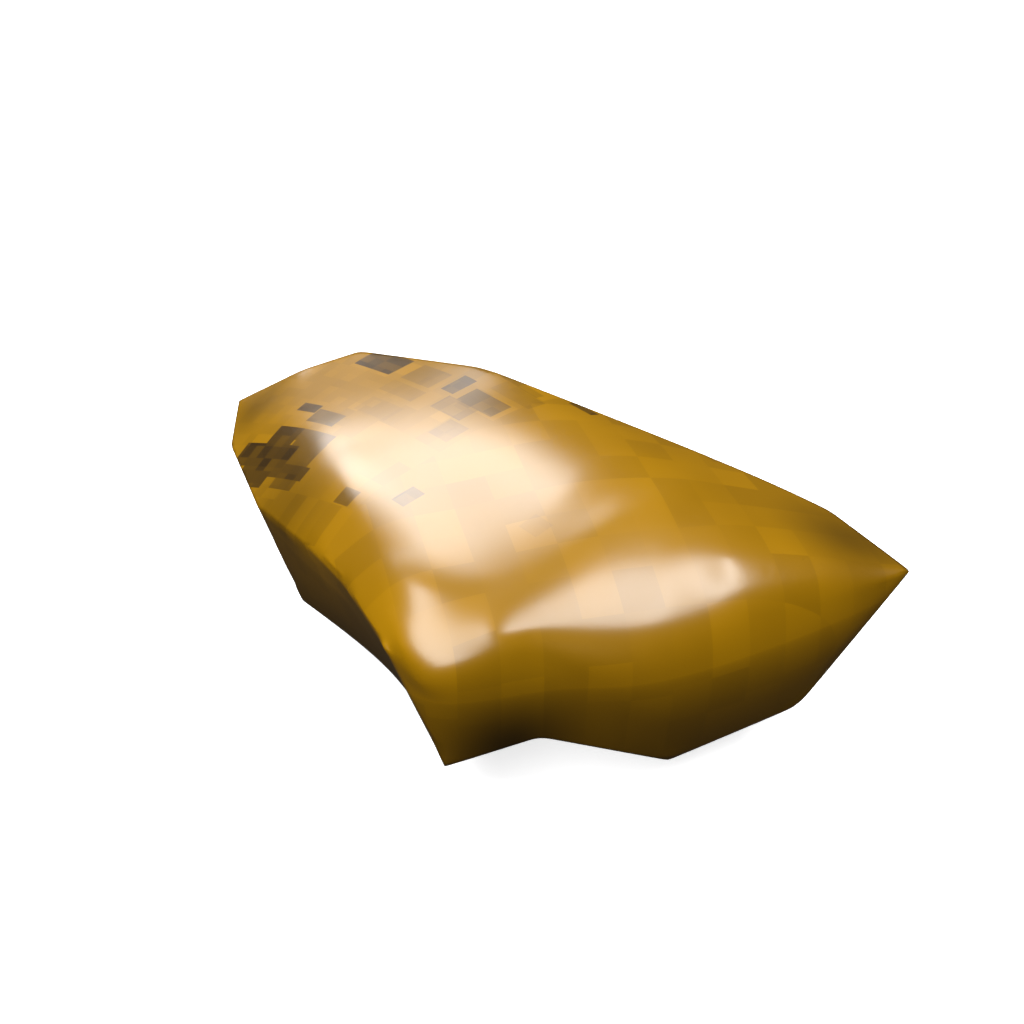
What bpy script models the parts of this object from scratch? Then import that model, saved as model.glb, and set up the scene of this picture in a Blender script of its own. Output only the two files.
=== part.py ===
import bmesh
import bpy
from mathutils import Matrix, Vector

MM = 0.001
LENGTH = 62.0 * MM            # overall length of the finished nugget along X
ROUNDING_LEVELS = 3           # how finely the soft ridges are rounded over
RIDGE_SHARPNESS = 0.0         # 0 is fully rounded, 1 is a knife edge
TOP_EDGE_SHARPNESS = 0.2      # where the flat top turns down to the left flank
SPUR_EDGE_SHARPNESS = 0.3     # left edge of the spur's top
FLANK_EDGE_SHARPNESS = 0.5    # where the left flank breaks into the side below it
VALLEY_SHARPNESS = 0.4        # fold between the spur and the belly
RIM_SHARPNESS = 1.0           # the widest line around the nugget stays crisp
CORNER_SHARPNESS = 1.0        # outer corners stay pointed
BASE_SHARPNESS = 1.0          # keeps the resting facet flat
AMBER_COLOUR = (0.39, 0.20, 0.008, 1.0)
AMBER_ROUGHNESS = 0.22

# Corner points in millimetres: X runs from the rounded head to the pointed
# tip, Y from the front to the back, Z up from the resting facet.
CORNERS = {
    # pointed end and the rim along the back
    "tip": (31.5, 3.5, 15.0),
    "back_rim_right": (24.0, 7.0, 15.5),
    "back_rim_middle": (17.0, 7.5, 16.5),
    "back_rim_top": (-5.5, 5.0, 20.5),
    "back_rim_left": (-18.0, 5.0, 18.5),
    # rounded head
    "head_top": (-22.0, 2.0, 17.0),
    "head_end": (-27.5, -0.5, 13.5),
    "head_side": (-24.0, -6.0, 13.0),
    "head_brow": (-19.5, -5.0, 16.5),
    # flat top
    "tip_crest": (23.5, -5.0, 19.5),
    "peak_right": (17.0, -4.0, 20.5),
    "peak_back": (4.0, 0.5, 21.5),
    "crest_middle": (12.0, -3.0, 21.0),
    "top_middle": (1.5, -8.5, 19.8),
    "top_left": (-10.5, -9.0, 20.0),
    "top_front": (2.0, -18.5, 19.8),
    "top_corner": (9.0, -20.0, 19.2),
    # left flank
    "left_brow": (-15.0, -13.5, 14.5),
    "left_ledge": (-7.0, -17.5, 16.2),
    "left_knuckle": (-2.5, -19.8, 16.7),
    "left_cheek": (-14.5, -13.0, 11.5),
    "left_low": (-12.0, -13.0, 6.0),
    # spur
    "spur_crest": (3.5, -22.0, 18.3),
    "spur_top": (8.0, -25.5, 16.8),
    "spur_shoulder": (11.0, -22.0, 17.6),
    "spur_join": (4.0, -24.0, 16.5),
    "spur_front": (8.5, -24.5, 12.0),
    "spur_foot": (8.5, -24.0, 7.5),
    "spur_armpit": (0.0, -15.5, 5.0),
    # front
    "valley_top": (11.5, -20.0, 18.5),
    "valley_middle": (14.5, -18.5, 15.0),
    "valley_foot": (13.5, -19.5, 9.0),
    "belly_crest": (17.0, -17.5, 17.5),
    "belly_front": (18.0, -17.0, 12.5),
    "belly": (20.5, -13.0, 4.5),
    "shoulder": (22.5, -11.5, 17.0),
    "shoulder_front": (22.5, -13.0, 11.5),
    "tip_front": (29.0, -3.5, 11.0),
    "tip_low": (27.0, -4.5, 6.0),
    # back, below the rim
    "back_right": (24.5, 8.0, 9.5),
    "back_middle": (14.0, 11.0, 9.0),
    "back_top": (-6.0, 9.5, 12.5),
    "back_left": (-19.0, 9.5, 10.5),
    "head_back": (-26.5, 5.0, 11.0),
    "head_low": (-24.0, 2.0, 6.0),
    "head_side_low": (-20.5, -5.0, 6.0),
    # lower ring
    "low_right": (23.0, 3.5, 4.0),
    "low_middle": (13.0, 7.0, 3.5),
    "low_back": (-5.0, 7.0, 4.0),
    "low_left": (-16.0, 5.5, 4.0),
    # resting facet
    "base_right": (19.0, 0.0, 0.0),
    "base_belly": (17.5, -6.0, 0.0),
    "base_front": (8.5, -8.5, 0.0),
    "base_spur": (0.0, -9.5, 0.0),
    "base_left": (-8.5, -6.5, 0.0),
    "base_head": (-14.5, -1.0, 0.0),
    "base_back": (-6.0, 3.5, 0.0),
    "base_middle": (8.0, 4.0, 0.0),
}

# Faces as loops of corner names, counter-clockwise seen from outside.
FACES = [
    # back slope behind the long ridge
    ("tip_crest", "tip", "back_rim_right"),
    ("peak_right", "tip_crest", "back_rim_right", "back_rim_middle"),
    ("crest_middle", "peak_right", "back_rim_middle"),
    ("peak_back", "crest_middle", "back_rim_middle"),
    ("peak_back", "back_rim_middle", "back_rim_top"),
    # flat top
    ("peak_back", "top_middle", "top_corner"),
    ("peak_back", "top_corner", "crest_middle"),
    ("crest_middle", "top_corner", "peak_right"),
    ("back_rim_top", "top_left", "top_middle", "peak_back"),
    ("back_rim_top", "back_rim_left", "top_left"),
    ("top_middle", "top_left", "top_front"),
    ("top_middle", "top_front", "top_corner"),
    # head
    ("back_rim_left", "head_top", "head_brow", "top_left"),
    ("head_top", "head_end", "head_brow"),
    ("head_end", "head_side", "head_brow"),
    ("head_brow", "head_side", "left_brow", "top_left"),
    # left flank
    ("top_left", "left_brow", "left_ledge"),
    ("top_left", "left_ledge", "top_front"),
    ("left_ledge", "left_knuckle", "top_front"),
    ("left_knuckle", "spur_join", "spur_crest"),
    ("spur_join", "spur_top", "spur_crest"),
    ("top_front", "left_knuckle", "spur_crest"),
    ("top_front", "spur_crest", "top_corner"),
    ("spur_crest", "spur_top", "spur_shoulder", "top_corner"),
    # right shoulder
    ("top_corner", "spur_shoulder", "valley_top"),
    ("top_corner", "valley_top", "belly_crest", "peak_right"),
    ("peak_right", "belly_crest", "shoulder"),
    ("peak_right", "shoulder", "tip_crest"),
    ("tip_crest", "shoulder", "tip"),
    # front
    ("spur_join", "spur_front", "spur_top"),
    ("spur_join", "spur_foot", "spur_front"),
    ("spur_top", "spur_front", "valley_middle", "spur_shoulder"),
    ("spur_shoulder", "valley_middle", "valley_top"),
    ("valley_top", "valley_middle", "belly_front", "belly_crest"),
    ("belly_crest", "belly_front", "shoulder_front", "shoulder"),
    ("shoulder", "shoulder_front", "tip_front", "tip"),
    ("spur_front", "spur_foot", "valley_foot", "valley_middle"),
    ("valley_middle", "valley_foot", "belly", "belly_front"),
    ("belly_front", "belly", "shoulder_front"),
    ("shoulder_front", "belly", "tip_low", "tip_front"),
    ("tip_front", "tip_low", "tip"),
    # left side below the flank
    ("left_brow", "left_cheek", "left_ledge"),
    ("left_cheek", "left_low", "left_ledge"),
    ("left_ledge", "left_low", "spur_armpit", "left_knuckle"),
    ("left_knuckle", "spur_armpit", "spur_join"),
    ("spur_join", "spur_armpit", "spur_foot"),
    # below the head
    ("head_side", "head_side_low", "left_cheek", "left_brow"),
    ("head_side_low", "left_low", "left_cheek"),
    ("head_end", "head_low", "head_side_low", "head_side"),
    # back below the rim
    ("tip", "back_right", "back_rim_right"),
    ("back_rim_right", "back_right", "back_middle", "back_rim_middle"),
    ("back_rim_middle", "back_middle", "back_top", "back_rim_top"),
    ("back_rim_top", "back_top", "back_left", "back_rim_left"),
    ("back_rim_left", "back_left", "head_top"),
    ("head_top", "back_left", "head_back"),
    ("head_top", "head_back", "head_end"),
    ("head_end", "head_back", "head_low"),
    # lower ring
    ("tip", "tip_low", "low_right", "back_right"),
    ("back_right", "low_right", "low_middle", "back_middle"),
    ("back_middle", "low_middle", "low_back", "back_top"),
    ("back_top", "low_back", "low_left", "back_left"),
    ("back_left", "low_left", "head_low", "head_back"),
    # underside
    ("tip_low", "base_right", "low_right"),
    ("low_right", "base_right", "base_middle", "low_middle"),
    ("low_middle", "base_middle", "base_back", "low_back"),
    ("low_back", "base_back", "base_head", "low_left"),
    ("low_left", "base_head", "head_low"),
    ("head_low", "base_head", "head_side_low"),
    ("head_side_low", "base_head", "base_left", "left_low"),
    ("left_low", "base_left", "base_spur", "spur_armpit"),
    ("spur_armpit", "base_spur", "base_front", "spur_foot"),
    ("spur_foot", "base_front", "valley_foot"),
    ("valley_foot", "base_front", "base_belly", "belly"),
    ("belly", "base_belly", "base_right", "tip_low"),
]

RIM = [
    "tip", "back_rim_right", "back_rim_middle", "back_rim_top", "back_rim_left",
    "head_top", "head_end", "head_side", "left_brow",
]
FRONT_RIM = [
    "left_brow", "left_cheek", "left_low", "spur_armpit", "spur_foot",
    "valley_foot", "belly", "tip_low", "tip",
]
SPUR_EDGE = ["top_front", "spur_crest", "spur_top"]
FLANK_EDGE = ["left_brow", "left_ledge", "left_knuckle", "spur_join", "spur_foot"]
VALLEY = ["valley_middle", "valley_foot"]
TOP_EDGE = ["head_brow", "top_left", "top_front", "top_corner"]
KEPT_CORNERS = [
    "tip", "back_rim_right", "back_rim_top", "back_rim_left", "head_top", "head_end",
    "head_side", "left_low", "spur_join", "spur_foot", "valley_foot", "belly", "tip_low",
]
BASE = [
    "base_right", "base_belly", "base_front", "base_spur",
    "base_left", "base_head", "base_back", "base_middle",
]
LINES = (
    (RIM, RIM_SHARPNESS),
    (FRONT_RIM, RIM_SHARPNESS),
    (TOP_EDGE, TOP_EDGE_SHARPNESS),
    (SPUR_EDGE, SPUR_EDGE_SHARPNESS),
    (FLANK_EDGE, FLANK_EDGE_SHARPNESS),
    (VALLEY, VALLEY_SHARPNESS),
    (BASE + BASE[:1], BASE_SHARPNESS),
)


def clear_scene():
    for thing in list(bpy.data.objects):
        bpy.data.objects.remove(thing, do_unlink=True)


def make_cage():
    """Join the corner points into one closed shell and mark its crisp lines."""
    shell = bmesh.new()
    edge_crease = shell.edges.layers.float.new("crease_edge")
    corner_crease = shell.verts.layers.float.new("crease_vert")
    points = {name: shell.verts.new(Vector(place) * MM) for name, place in CORNERS.items()}
    for loop in FACES:
        shell.faces.new([points[name] for name in loop])
    shell.faces.new([points[name] for name in BASE])
    for edge in shell.edges:
        edge[edge_crease] = RIDGE_SHARPNESS
    for names, sharpness in LINES:
        for first, second in zip(names, names[1:]):
            shell.edges.get((points[first], points[second]))[edge_crease] = sharpness
    for name in KEPT_CORNERS:
        points[name][corner_crease] = CORNER_SHARPNESS
    for face in shell.faces:
        face.smooth = True
    mesh = bpy.data.meshes.new("amber_nugget")
    shell.to_mesh(mesh)
    shell.free()
    return mesh


def make_nugget():
    """Round the shell over with a subdivision surface that keeps the crisp lines."""
    nugget = bpy.data.objects.new("amber_nugget", make_cage())
    bpy.context.scene.collection.objects.link(nugget)
    rounding = nugget.modifiers.new("rounding", "SUBSURF")
    rounding.levels = ROUNDING_LEVELS
    rounding.render_levels = ROUNDING_LEVELS
    return nugget


def bounds_of(thing):
    """Return the low and high corners of the finished, rounded body."""
    thing.data.update()
    finished = thing.evaluated_get(bpy.context.evaluated_depsgraph_get())
    places = [vertex.co for vertex in finished.data.vertices]
    low = Vector([min(place[axis] for place in places) for axis in range(3)])
    high = Vector([max(place[axis] for place in places) for axis in range(3)])
    return low, high


def set_size_and_place(thing):
    """Give the body its overall length and stand it centred on the origin."""
    low, high = bounds_of(thing)
    thing.data.transform(Matrix.Scale(LENGTH / (high.x - low.x), 4))
    low, high = bounds_of(thing)
    middle = (low + high) / 2
    thing.data.transform(Matrix.Translation((-middle.x, -middle.y, -low.z)))


def give_material(thing):
    amber = bpy.data.materials.new("amber")
    amber.use_nodes = True
    surface = amber.node_tree.nodes["Principled BSDF"]
    surface.inputs["Base Color"].default_value = AMBER_COLOUR
    surface.inputs["Roughness"].default_value = AMBER_ROUGHNESS
    surface.inputs["Metallic"].default_value = 0.0
    thing.data.materials.append(amber)


clear_scene()
body = make_nugget()
set_size_and_place(body)
give_material(body)
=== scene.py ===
import math

import bpy
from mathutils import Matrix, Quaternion, Vector


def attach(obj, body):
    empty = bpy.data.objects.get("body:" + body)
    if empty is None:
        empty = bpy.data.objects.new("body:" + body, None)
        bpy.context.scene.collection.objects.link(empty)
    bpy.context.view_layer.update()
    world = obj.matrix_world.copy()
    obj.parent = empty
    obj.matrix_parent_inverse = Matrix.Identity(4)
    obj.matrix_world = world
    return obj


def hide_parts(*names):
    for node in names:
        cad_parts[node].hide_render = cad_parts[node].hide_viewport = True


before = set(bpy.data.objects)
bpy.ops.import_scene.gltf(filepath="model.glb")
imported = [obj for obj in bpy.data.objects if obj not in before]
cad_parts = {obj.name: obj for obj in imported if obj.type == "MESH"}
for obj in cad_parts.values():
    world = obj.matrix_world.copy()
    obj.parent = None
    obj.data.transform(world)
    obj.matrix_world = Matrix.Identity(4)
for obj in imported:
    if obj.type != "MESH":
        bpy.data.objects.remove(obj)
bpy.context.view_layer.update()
mm = 0.001
print("frame loaded:", sorted(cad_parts))


def selectOnly(thing):
    bpy.ops.object.select_all(action="DESELECT")
    thing.select_set(True)
    bpy.context.view_layer.objects.active = thing


def applyModifier(thing, kind, **settings):
    selectOnly(thing)
    modifier = thing.modifiers.new(kind.lower(), kind)
    for setting, value in settings.items():
        setattr(modifier, setting, value)
    bpy.ops.object.modifier_apply(modifier=modifier.name)


class Wire:  # a socket that can be used in a Python expression
    def __init__(self, maker, socket):
        self.maker = maker
        self.socket = socket

    def math(self, operation, *values):
        sockets = dict(enumerate((self, *values)))
        return self.maker.make("ShaderNodeMath", {"operation": operation}, sockets)

    def __add__(self, other):
        return self.math("ADD", other)

    def __sub__(self, other):
        return self.math("SUBTRACT", other)

    def __mul__(self, other):
        return self.math("MULTIPLY", other)

    def __truediv__(self, other):
        return self.math("DIVIDE", other)

    def __gt__(self, other):
        return self.math("GREATER_THAN", other)

    def __lt__(self, other):
        return self.math("LESS_THAN", other)

    def __rsub__(self, other):
        sockets = {0: other, 1: self}
        return self.maker.make("ShaderNodeMath", {"operation": "SUBTRACT"}, sockets)

    __radd__ = __add__


class Maker:  # adds nodes to one material
    def __init__(self, material):
        self.tree = material.node_tree

    def make(self, kind, settings=None, sockets=None, output=0):
        node = self.tree.nodes.new(kind)
        for name, value in (settings or {}).items():
            setattr(node, name, value)
        for name, value in (sockets or {}).items():
            if isinstance(value, Wire):
                self.tree.links.new(value.socket, node.inputs[name])
            else:
                node.inputs[name].default_value = value
        return Wire(self, node.outputs[output])

    def split(self, vector):
        parts = self.make("ShaderNodeSeparateXYZ", {}, {0: vector}).socket.node
        return [Wire(self, parts.outputs[axis]) for axis in range(3)]

    def link(self, wire, socket):
        self.tree.links.new(wire.socket, socket)


# the nugget's skin

skin = {
    "smoothing": 2,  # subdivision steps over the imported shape
    "crispAngle": 25,  # degrees; edges sharper than this stay crisp
    "crispness": 0.9,
    "weld": 0.001 * mm,
    "waveHeight": 0.012 * mm,  # soft unevenness of the polished surface
    "waveLength": 6 * mm,
}


def makeNugget():
    selectOnly(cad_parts["amber_nugget"])
    bpy.ops.object.duplicate()
    nugget = bpy.context.object
    nugget.name = "amber_body"
    bpy.ops.object.mode_set(mode="EDIT")
    bpy.ops.mesh.select_all(action="SELECT")
    bpy.ops.mesh.remove_doubles(threshold=skin["weld"])
    bpy.ops.mesh.tris_convert_to_quads(face_threshold=math.pi, shape_threshold=math.pi)
    bpy.ops.mesh.select_mode(type="EDGE")
    bpy.ops.mesh.select_all(action="DESELECT")
    bpy.ops.mesh.edges_select_sharp(sharpness=math.radians(skin["crispAngle"]))
    bpy.ops.transform.edge_crease(value=skin["crispness"])
    bpy.ops.object.mode_set(mode="OBJECT")
    steps = skin["smoothing"]
    applyModifier(nugget, "SUBSURF", levels=steps, render_levels=steps)
    addWaves(nugget)
    selectOnly(nugget)
    bpy.ops.object.shade_smooth()
    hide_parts("amber_nugget")
    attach(nugget, "root")
    return nugget


def addWaves(nugget):
    waves = bpy.data.textures.new("waves", "CLOUDS")
    waves.noise_scale = skin["waveLength"]
    applyModifier(
        nugget, "DISPLACE", texture=waves, texture_coords="LOCAL",
        strength=skin["waveHeight"], mid_level=1.0,  # dents only, so the size stays
    )


nugget = makeNugget()
print("nugget made:", len(nugget.data.polygons), "faces")


# amber

amber = {
    "gold": (0.275, 0.134, 0.0001),
    "deepGold": (0.247, 0.119, 0.0001),
    "brown": (0.03, 0.015, 0.002),
    "roughness": 0.28,
    # a duller spot on the back rim: its place and reach in mm, the added roughness
    "dullRim": ((-8.5, 12.2, 21.4), 6.0, 0.12),
    "bend": 1.54,  # index of refraction
    "clearness": 0.25,  # how much light goes in instead of scattering back
    "absorbing": (0.62, 0.34, 0.03, 1),
    "absorption": 1200,  # per metre
    # soft clouds of deeper gold
    "cloudScale": 0.11,  # per mm
    "cloudDetail": 3.0,
    "cloudStart": 0.35,
    "cloudContrast": 2.5,
    # blocks of slightly different tone, laid along and across the nugget's head, in mm
    "headTurn": -16,  # degrees
    "bodyTurn": 45,
    "endBlocks": (1.25, 1.05, 3.5),  # block length, width and height
    "headBlocks": (1.5, 2.9, 3.5),
    "bodyBlocks": (3.1, 3.1, 3.5),
    "endEdge": -14.2,  # where one size of block gives way to the next
    "headEdge": -4.5,
    "blockShift": 0.5,  # across
    "topLayer": 16,  # height above which there is one layer of blocks
    "blockContrast": 0.22,
    "blockFade": 18,  # height below which the blocks get weaker
    "patchVariety": 0.3,
    "patchFloor": 7,  # height in mm that the patches reach down to
    # brown patches: along, across, half length, half width in mm, strength
    "patches": {
        "headStrip": (-20.2, -1.5, 1.3, 0.5, 0.9),
        "headUpper": (-17.0, -2.2, 1.8, 0.8, 0.75),
        "headBand": (-19.6, -4.7, 1.75, 0.9, 0.97),
        "headBandEnd": (-15.7, -4.4, 2.2, 0.6, 0.7),
        "headMain": (-20.3, -6.5, 3.9, 1.0, 1.0),
        "headMiddle": (-15.5, -6.0, 2.1, 1.15, 0.7),
        "headLow": (-19.8, -8.3, 2.3, 0.95, 0.95),
        "headLowEnd": (-15.3, -7.7, 2.5, 0.6, 0.92),
        "headLower": (-14.7, -8.7, 1.5, 0.45, 0.6),
        "headRim": (-20.0, 6.7, 2.4, 1.5, 0.95),
        "rimPatch": (-14.4, 6.8, 1.8, 1.4, 0.4),
        "rimShade": (-14.2, 3.9, 2.1, 0.9, 0.25),
        "rimTone": (-13.6, 0.8, 2.0, 1.1, 0.15),
        "rimBar": (-10.9, 7.4, 0.75, 1.4, 0.9),
        "topPatch": (-7.2, 6.8, 2.1, 1.2, 0.7),
        "topShade": (-8.4, 4.6, 1.8, 1.1, 0.45),
        "topFaint": (-6.2, 2.0, 1.1, 1.25, 0.3),
        "backShade": (-6.3, 9.85, 2.3, 1.0, 0.25),
        "backDark": (-7.4, 11.4, 2.2, 0.5, 0.35),
        "backSliver": (-2.2, 13.6, 1.3, 0.5, 0.95),
        "flankSpot": (-6.4, -8.4, 0.9, 0.7, 0.6),
        "flankMark": (-2.0, -5.9, 0.7, 1.1, 0.6),
        "shoulderMark": (7.6, -1.8, 0.9, 0.9, 0.15),
    },
    # painted shade: soft darker zones in the fold, on the flank, at the back of the tip, on the
    # head's facet and on the back rim; place and reach in mm, strength
    "paintedShadeZones": {
        "fold": ((10.5, -13.8, 9.0), 8.0, 0.85),
        "flank": ((-14.5, -6.5, 17.0), 8.0, 0.42),
        "backTip": ((26.0, 12.0, 16.5), 8.0, 0.55),
        "headFacet": ((-27.5, 6.0, 15.5), 5.0, 0.4),
        "backRim": ((-8.5, 12.2, 21.4), 5.5, 0.25),
    },
    # painted shade: how much darker the skin gets towards the table, between these heights in
    # mm
    "lowPaintedShade": 0.9,
    "lowFrom": 14,
    "lowTo": 4,
    "lowCurve": 0.45,
    # and painted shade towards the tip, from this place on over this length in mm
    "tipPaintedShade": 0.17,
    "tipFrom": 6,
    "tipLength": 26,
}


def blend(maker, amount, first, second):  # the mix node's colours are sockets 6 and 7
    settings = {"data_type": "RGBA", "clamp_factor": True}
    return maker.make("ShaderNodeMix", settings, {0: amount, 6: first, 7: second}, 2)


def turned(x, y, degrees):
    cosine, sine = math.cos(math.radians(degrees)), math.sin(math.radians(degrees))
    return x * cosine + y * sine, y * cosine - x * sine


def blocks(maker, along, across, z, sizes):  # one random value for each block
    length, width, height = sizes
    noise = {"noise_dimensions": "3D"}
    row = (along / length).math("FLOOR")
    column = ((across + amber["blockShift"]) / width).math("FLOOR")
    corner = {0: row, 1: column}
    foot = maker.make("ShaderNodeCombineXYZ", {}, corner)
    lift = maker.make("ShaderNodeTexWhiteNoise", noise, {"Vector": foot})
    upTo = z.math("MINIMUM", amber["topLayer"])
    corner[2] = (upTo / height + lift).math("FLOOR")
    place = maker.make("ShaderNodeCombineXYZ", {}, corner)
    return maker.make("ShaderNodeTexWhiteNoise", noise, {"Vector": place})


def brownPatches(along, across):
    dark = 0
    for midAlong, midAcross, halfLength, halfWidth, strength in amber["patches"].values():
        inLength = (along - midAlong).math("ABSOLUTE") < halfLength
        inWidth = (across - midAcross).math("ABSOLUTE") < halfWidth
        dark = (inLength * inWidth * strength).math("MAXIMUM", dark)
    return dark


def nearness(maker, place, spot, reach):  # 1 at the spot, softly 0 at its reach
    distance = {"operation": "DISTANCE"}
    away = maker.make("ShaderNodeVectorMath", distance, {0: place, 1: spot}, "Value")
    near = (1 - away / reach).math("MAXIMUM", 0.0)
    return near * near * (3 - near * 2)


# painted shade: darkens the tone softly around each listed zone
def withPaintedShade(maker, place, tone):
    for spot, reach, strength in amber["paintedShadeZones"].values():
        tone = tone * (1 - nearness(maker, place, spot, reach) * strength)
    return tone


def makeAmber():
    material = bpy.data.materials.new("honeyAmber")
    material.use_nodes = True
    maker = Maker(material)
    surface = material.node_tree.nodes["Principled BSDF"]
    output = material.node_tree.nodes["Material Output"]
    coordinates = maker.make("ShaderNodeTexCoord", output="Object")
    scaled = {"operation": "SCALE"}  # its factor is socket 3
    place = maker.make("ShaderNodeVectorMath", scaled, {0: coordinates, 3: 1 / mm})
    x, y, z = maker.split(place)

    headAlong, headAcross = turned(x, y, amber["headTurn"])
    bodyAlong, bodyAcross = turned(x, y, amber["bodyTurn"])
    endBlock = blocks(maker, headAlong, headAcross, z, amber["endBlocks"])
    headBlock = blocks(maker, headAlong, headAcross, z, amber["headBlocks"])
    bodyBlock = blocks(maker, bodyAlong, bodyAcross, z, amber["bodyBlocks"])
    atEnd = headAlong < amber["endEdge"]
    atHead = headAlong < amber["headEdge"]
    block = endBlock * atEnd + headBlock * (atHead - atEnd) + bodyBlock * (1 - atHead)
    contrast = (z / amber["blockFade"]).math("MINIMUM", 1.0) * amber["blockContrast"]
    tone = 1 + (block - 0.5) * contrast  # a block is 0 to 1, so 0.5 on average
    # painted shade: the tone gets darker towards the underside
    low = (1 - z.math("MAXIMUM", amber["lowTo"]) / amber["lowFrom"]).math("MAXIMUM", 0.0)
    tone = tone * (1 - low.math("POWER", amber["lowCurve"]) * amber["lowPaintedShade"])
    # painted shade: the tone gets darker towards the tip
    towardsTip = ((x - amber["tipFrom"]) / amber["tipLength"]).math("MAXIMUM", 0.0)
    tone = tone * (1 - towardsTip * amber["tipPaintedShade"])
    # painted shade in the fold, on the flank, at the back of the tip, the head's facet and the
    # back rim
    tone = withPaintedShade(maker, place, tone)
    varied = endBlock * amber["patchVariety"] + (1 - amber["patchVariety"])
    dark = brownPatches(headAlong, headAcross) * varied * (z > amber["patchFloor"])

    clouds = {"Vector": place, "Scale": amber["cloudScale"], "Detail": amber["cloudDetail"]}
    cloud = maker.make("ShaderNodeTexNoise", {}, clouds) - amber["cloudStart"]
    deeper = cloud * amber["cloudContrast"]
    body = blend(maker, deeper, (*amber["gold"], 1), (*amber["deepGold"], 1))
    body = maker.make("ShaderNodeVectorMath", scaled, {0: body, 3: tone})
    body = blend(maker, dark, body, (*amber["brown"], 1))
    maker.link(body, surface.inputs["Base Color"])
    spot, reach, dullness = amber["dullRim"]
    gloss = amber["roughness"] + nearness(maker, place, spot, reach) * dullness
    maker.link(gloss, surface.inputs["Roughness"])

    surface.inputs["IOR"].default_value = amber["bend"]
    surface.inputs["Transmission Weight"].default_value = amber["clearness"]
    absorbing = {"Color": amber["absorbing"], "Density": amber["absorption"]}
    maker.link(maker.make("ShaderNodeVolumeAbsorption", {}, absorbing), output.inputs["Volume"])
    return material


nugget.data.materials.clear()
nugget.data.materials.append(makeAmber())
print("amber painted")


# studio

studio = {
    "middle": Vector((-2.1, 8.1, 11.56)) * mm,  # the point the camera looks at
    "cameraAzimuth": 30,
    "cameraElevation": 36,
    "cameraDistance": 121.9 * mm,
    "clipStart": 1 * mm,
    "lens": 50,  # mm
    "sensor": 36,
    "lights": {
        # azimuth, elevation, roll in degrees, width and height in m, watts
        "backSoftbox": (230, 36, -30, 0.75, 0.2, 7.8),
        "rightSoftbox": (110, 65, 25, 0.85, 0.18, 9.8),
        "frontSoftbox": (0, 56, -50, 2.2, 0.35, 29),
    },
    "paleColour": (0.9, 0.9, 0.9, 1),  # of the floor and the backdrop
    "paleRoughness": 0.9,
    "floorSize": 6,  # m
    "floorGlow": 0.6,  # lifts the shadows on the floor
    "backdropRadius": 1.2,  # m
    "backdropHeight": 6,
    "backdropGlow": 1.2,
    "roomColour": (1, 1, 1, 1),
    "roomLight": 0.03,
}


def direction(azimuth, elevation):  # azimuth 0 is the front, 90 the right
    turn, rise = math.radians(azimuth), math.radians(elevation)
    level = math.cos(rise)
    return Vector((math.sin(turn) * level, -math.cos(turn) * level, math.sin(rise)))


def aimAtMiddle(thing, away, roll=0):
    thing.location = studio["middle"] + away
    turn = (-away).to_track_quat("-Z", "Y") @ Quaternion((0, 0, 1), math.radians(roll))
    thing.rotation_euler = turn.to_euler()


def makeCamera():
    bpy.ops.object.camera_add()
    camera = bpy.context.object
    camera.data.lens = studio["lens"]
    camera.data.sensor_width = studio["sensor"]
    camera.data.clip_start = studio["clipStart"]
    towards = direction(studio["cameraAzimuth"], studio["cameraElevation"])
    aimAtMiddle(camera, towards * studio["cameraDistance"])
    bpy.context.scene.camera = camera


def makeLights():
    for name, (azimuth, elevation, roll, width, height, watts) in studio["lights"].items():
        bpy.ops.object.light_add(type="AREA")
        light = bpy.context.object
        light.name = name
        light.data.shape = "RECTANGLE"
        light.data.size = width
        light.data.size_y = height
        light.data.energy = watts
        aimAtMiddle(light, direction(azimuth, elevation), roll)


def plainGlow(name, glow):
    material = bpy.data.materials.new(name)
    material.use_nodes = True
    surface = material.node_tree.nodes["Principled BSDF"]
    surface.inputs["Base Color"].default_value = studio["paleColour"]
    surface.inputs["Roughness"].default_value = studio["paleRoughness"]
    surface.inputs["Specular IOR Level"].default_value = 0.0
    surface.inputs["Emission Color"].default_value = studio["paleColour"]
    surface.inputs["Emission Strength"].default_value = glow
    material.cycles.emission_sampling = "NONE"  # seen, but not used as a light
    return material


def makeFloor():
    bpy.ops.mesh.primitive_plane_add(size=studio["floorSize"])
    floor = bpy.context.object
    floor.name = "floor"
    floor.data.materials.append(plainGlow("paleFloor", studio["floorGlow"]))
    floor.visible_diffuse = False
    floor.visible_glossy = False


def makeBackdrop():  # a pale wall all round, seen only by the camera
    bpy.ops.mesh.primitive_cylinder_add(
        radius=studio["backdropRadius"], depth=studio["backdropHeight"],
        end_fill_type="NOTHING",
    )
    backdrop = bpy.context.object
    backdrop.name = "backdrop"
    backdrop.data.materials.append(plainGlow("paleBackdrop", studio["backdropGlow"]))
    backdrop.visible_diffuse = False
    backdrop.visible_glossy = False
    backdrop.visible_transmission = False
    backdrop.visible_shadow = False


def makeWorld():
    world = bpy.data.worlds.new("softRoom")
    world.use_nodes = True
    background = world.node_tree.nodes["Background"]
    background.inputs["Color"].default_value = studio["roomColour"]
    background.inputs["Strength"].default_value = studio["roomLight"]
    bpy.context.scene.world = world
    bpy.context.scene.view_settings.view_transform = "Standard"


bpy.ops.object.select_all(action="DESELECT")
makeCamera()
makeLights()
makeFloor()
makeBackdrop()
makeWorld()
print("studio lit")
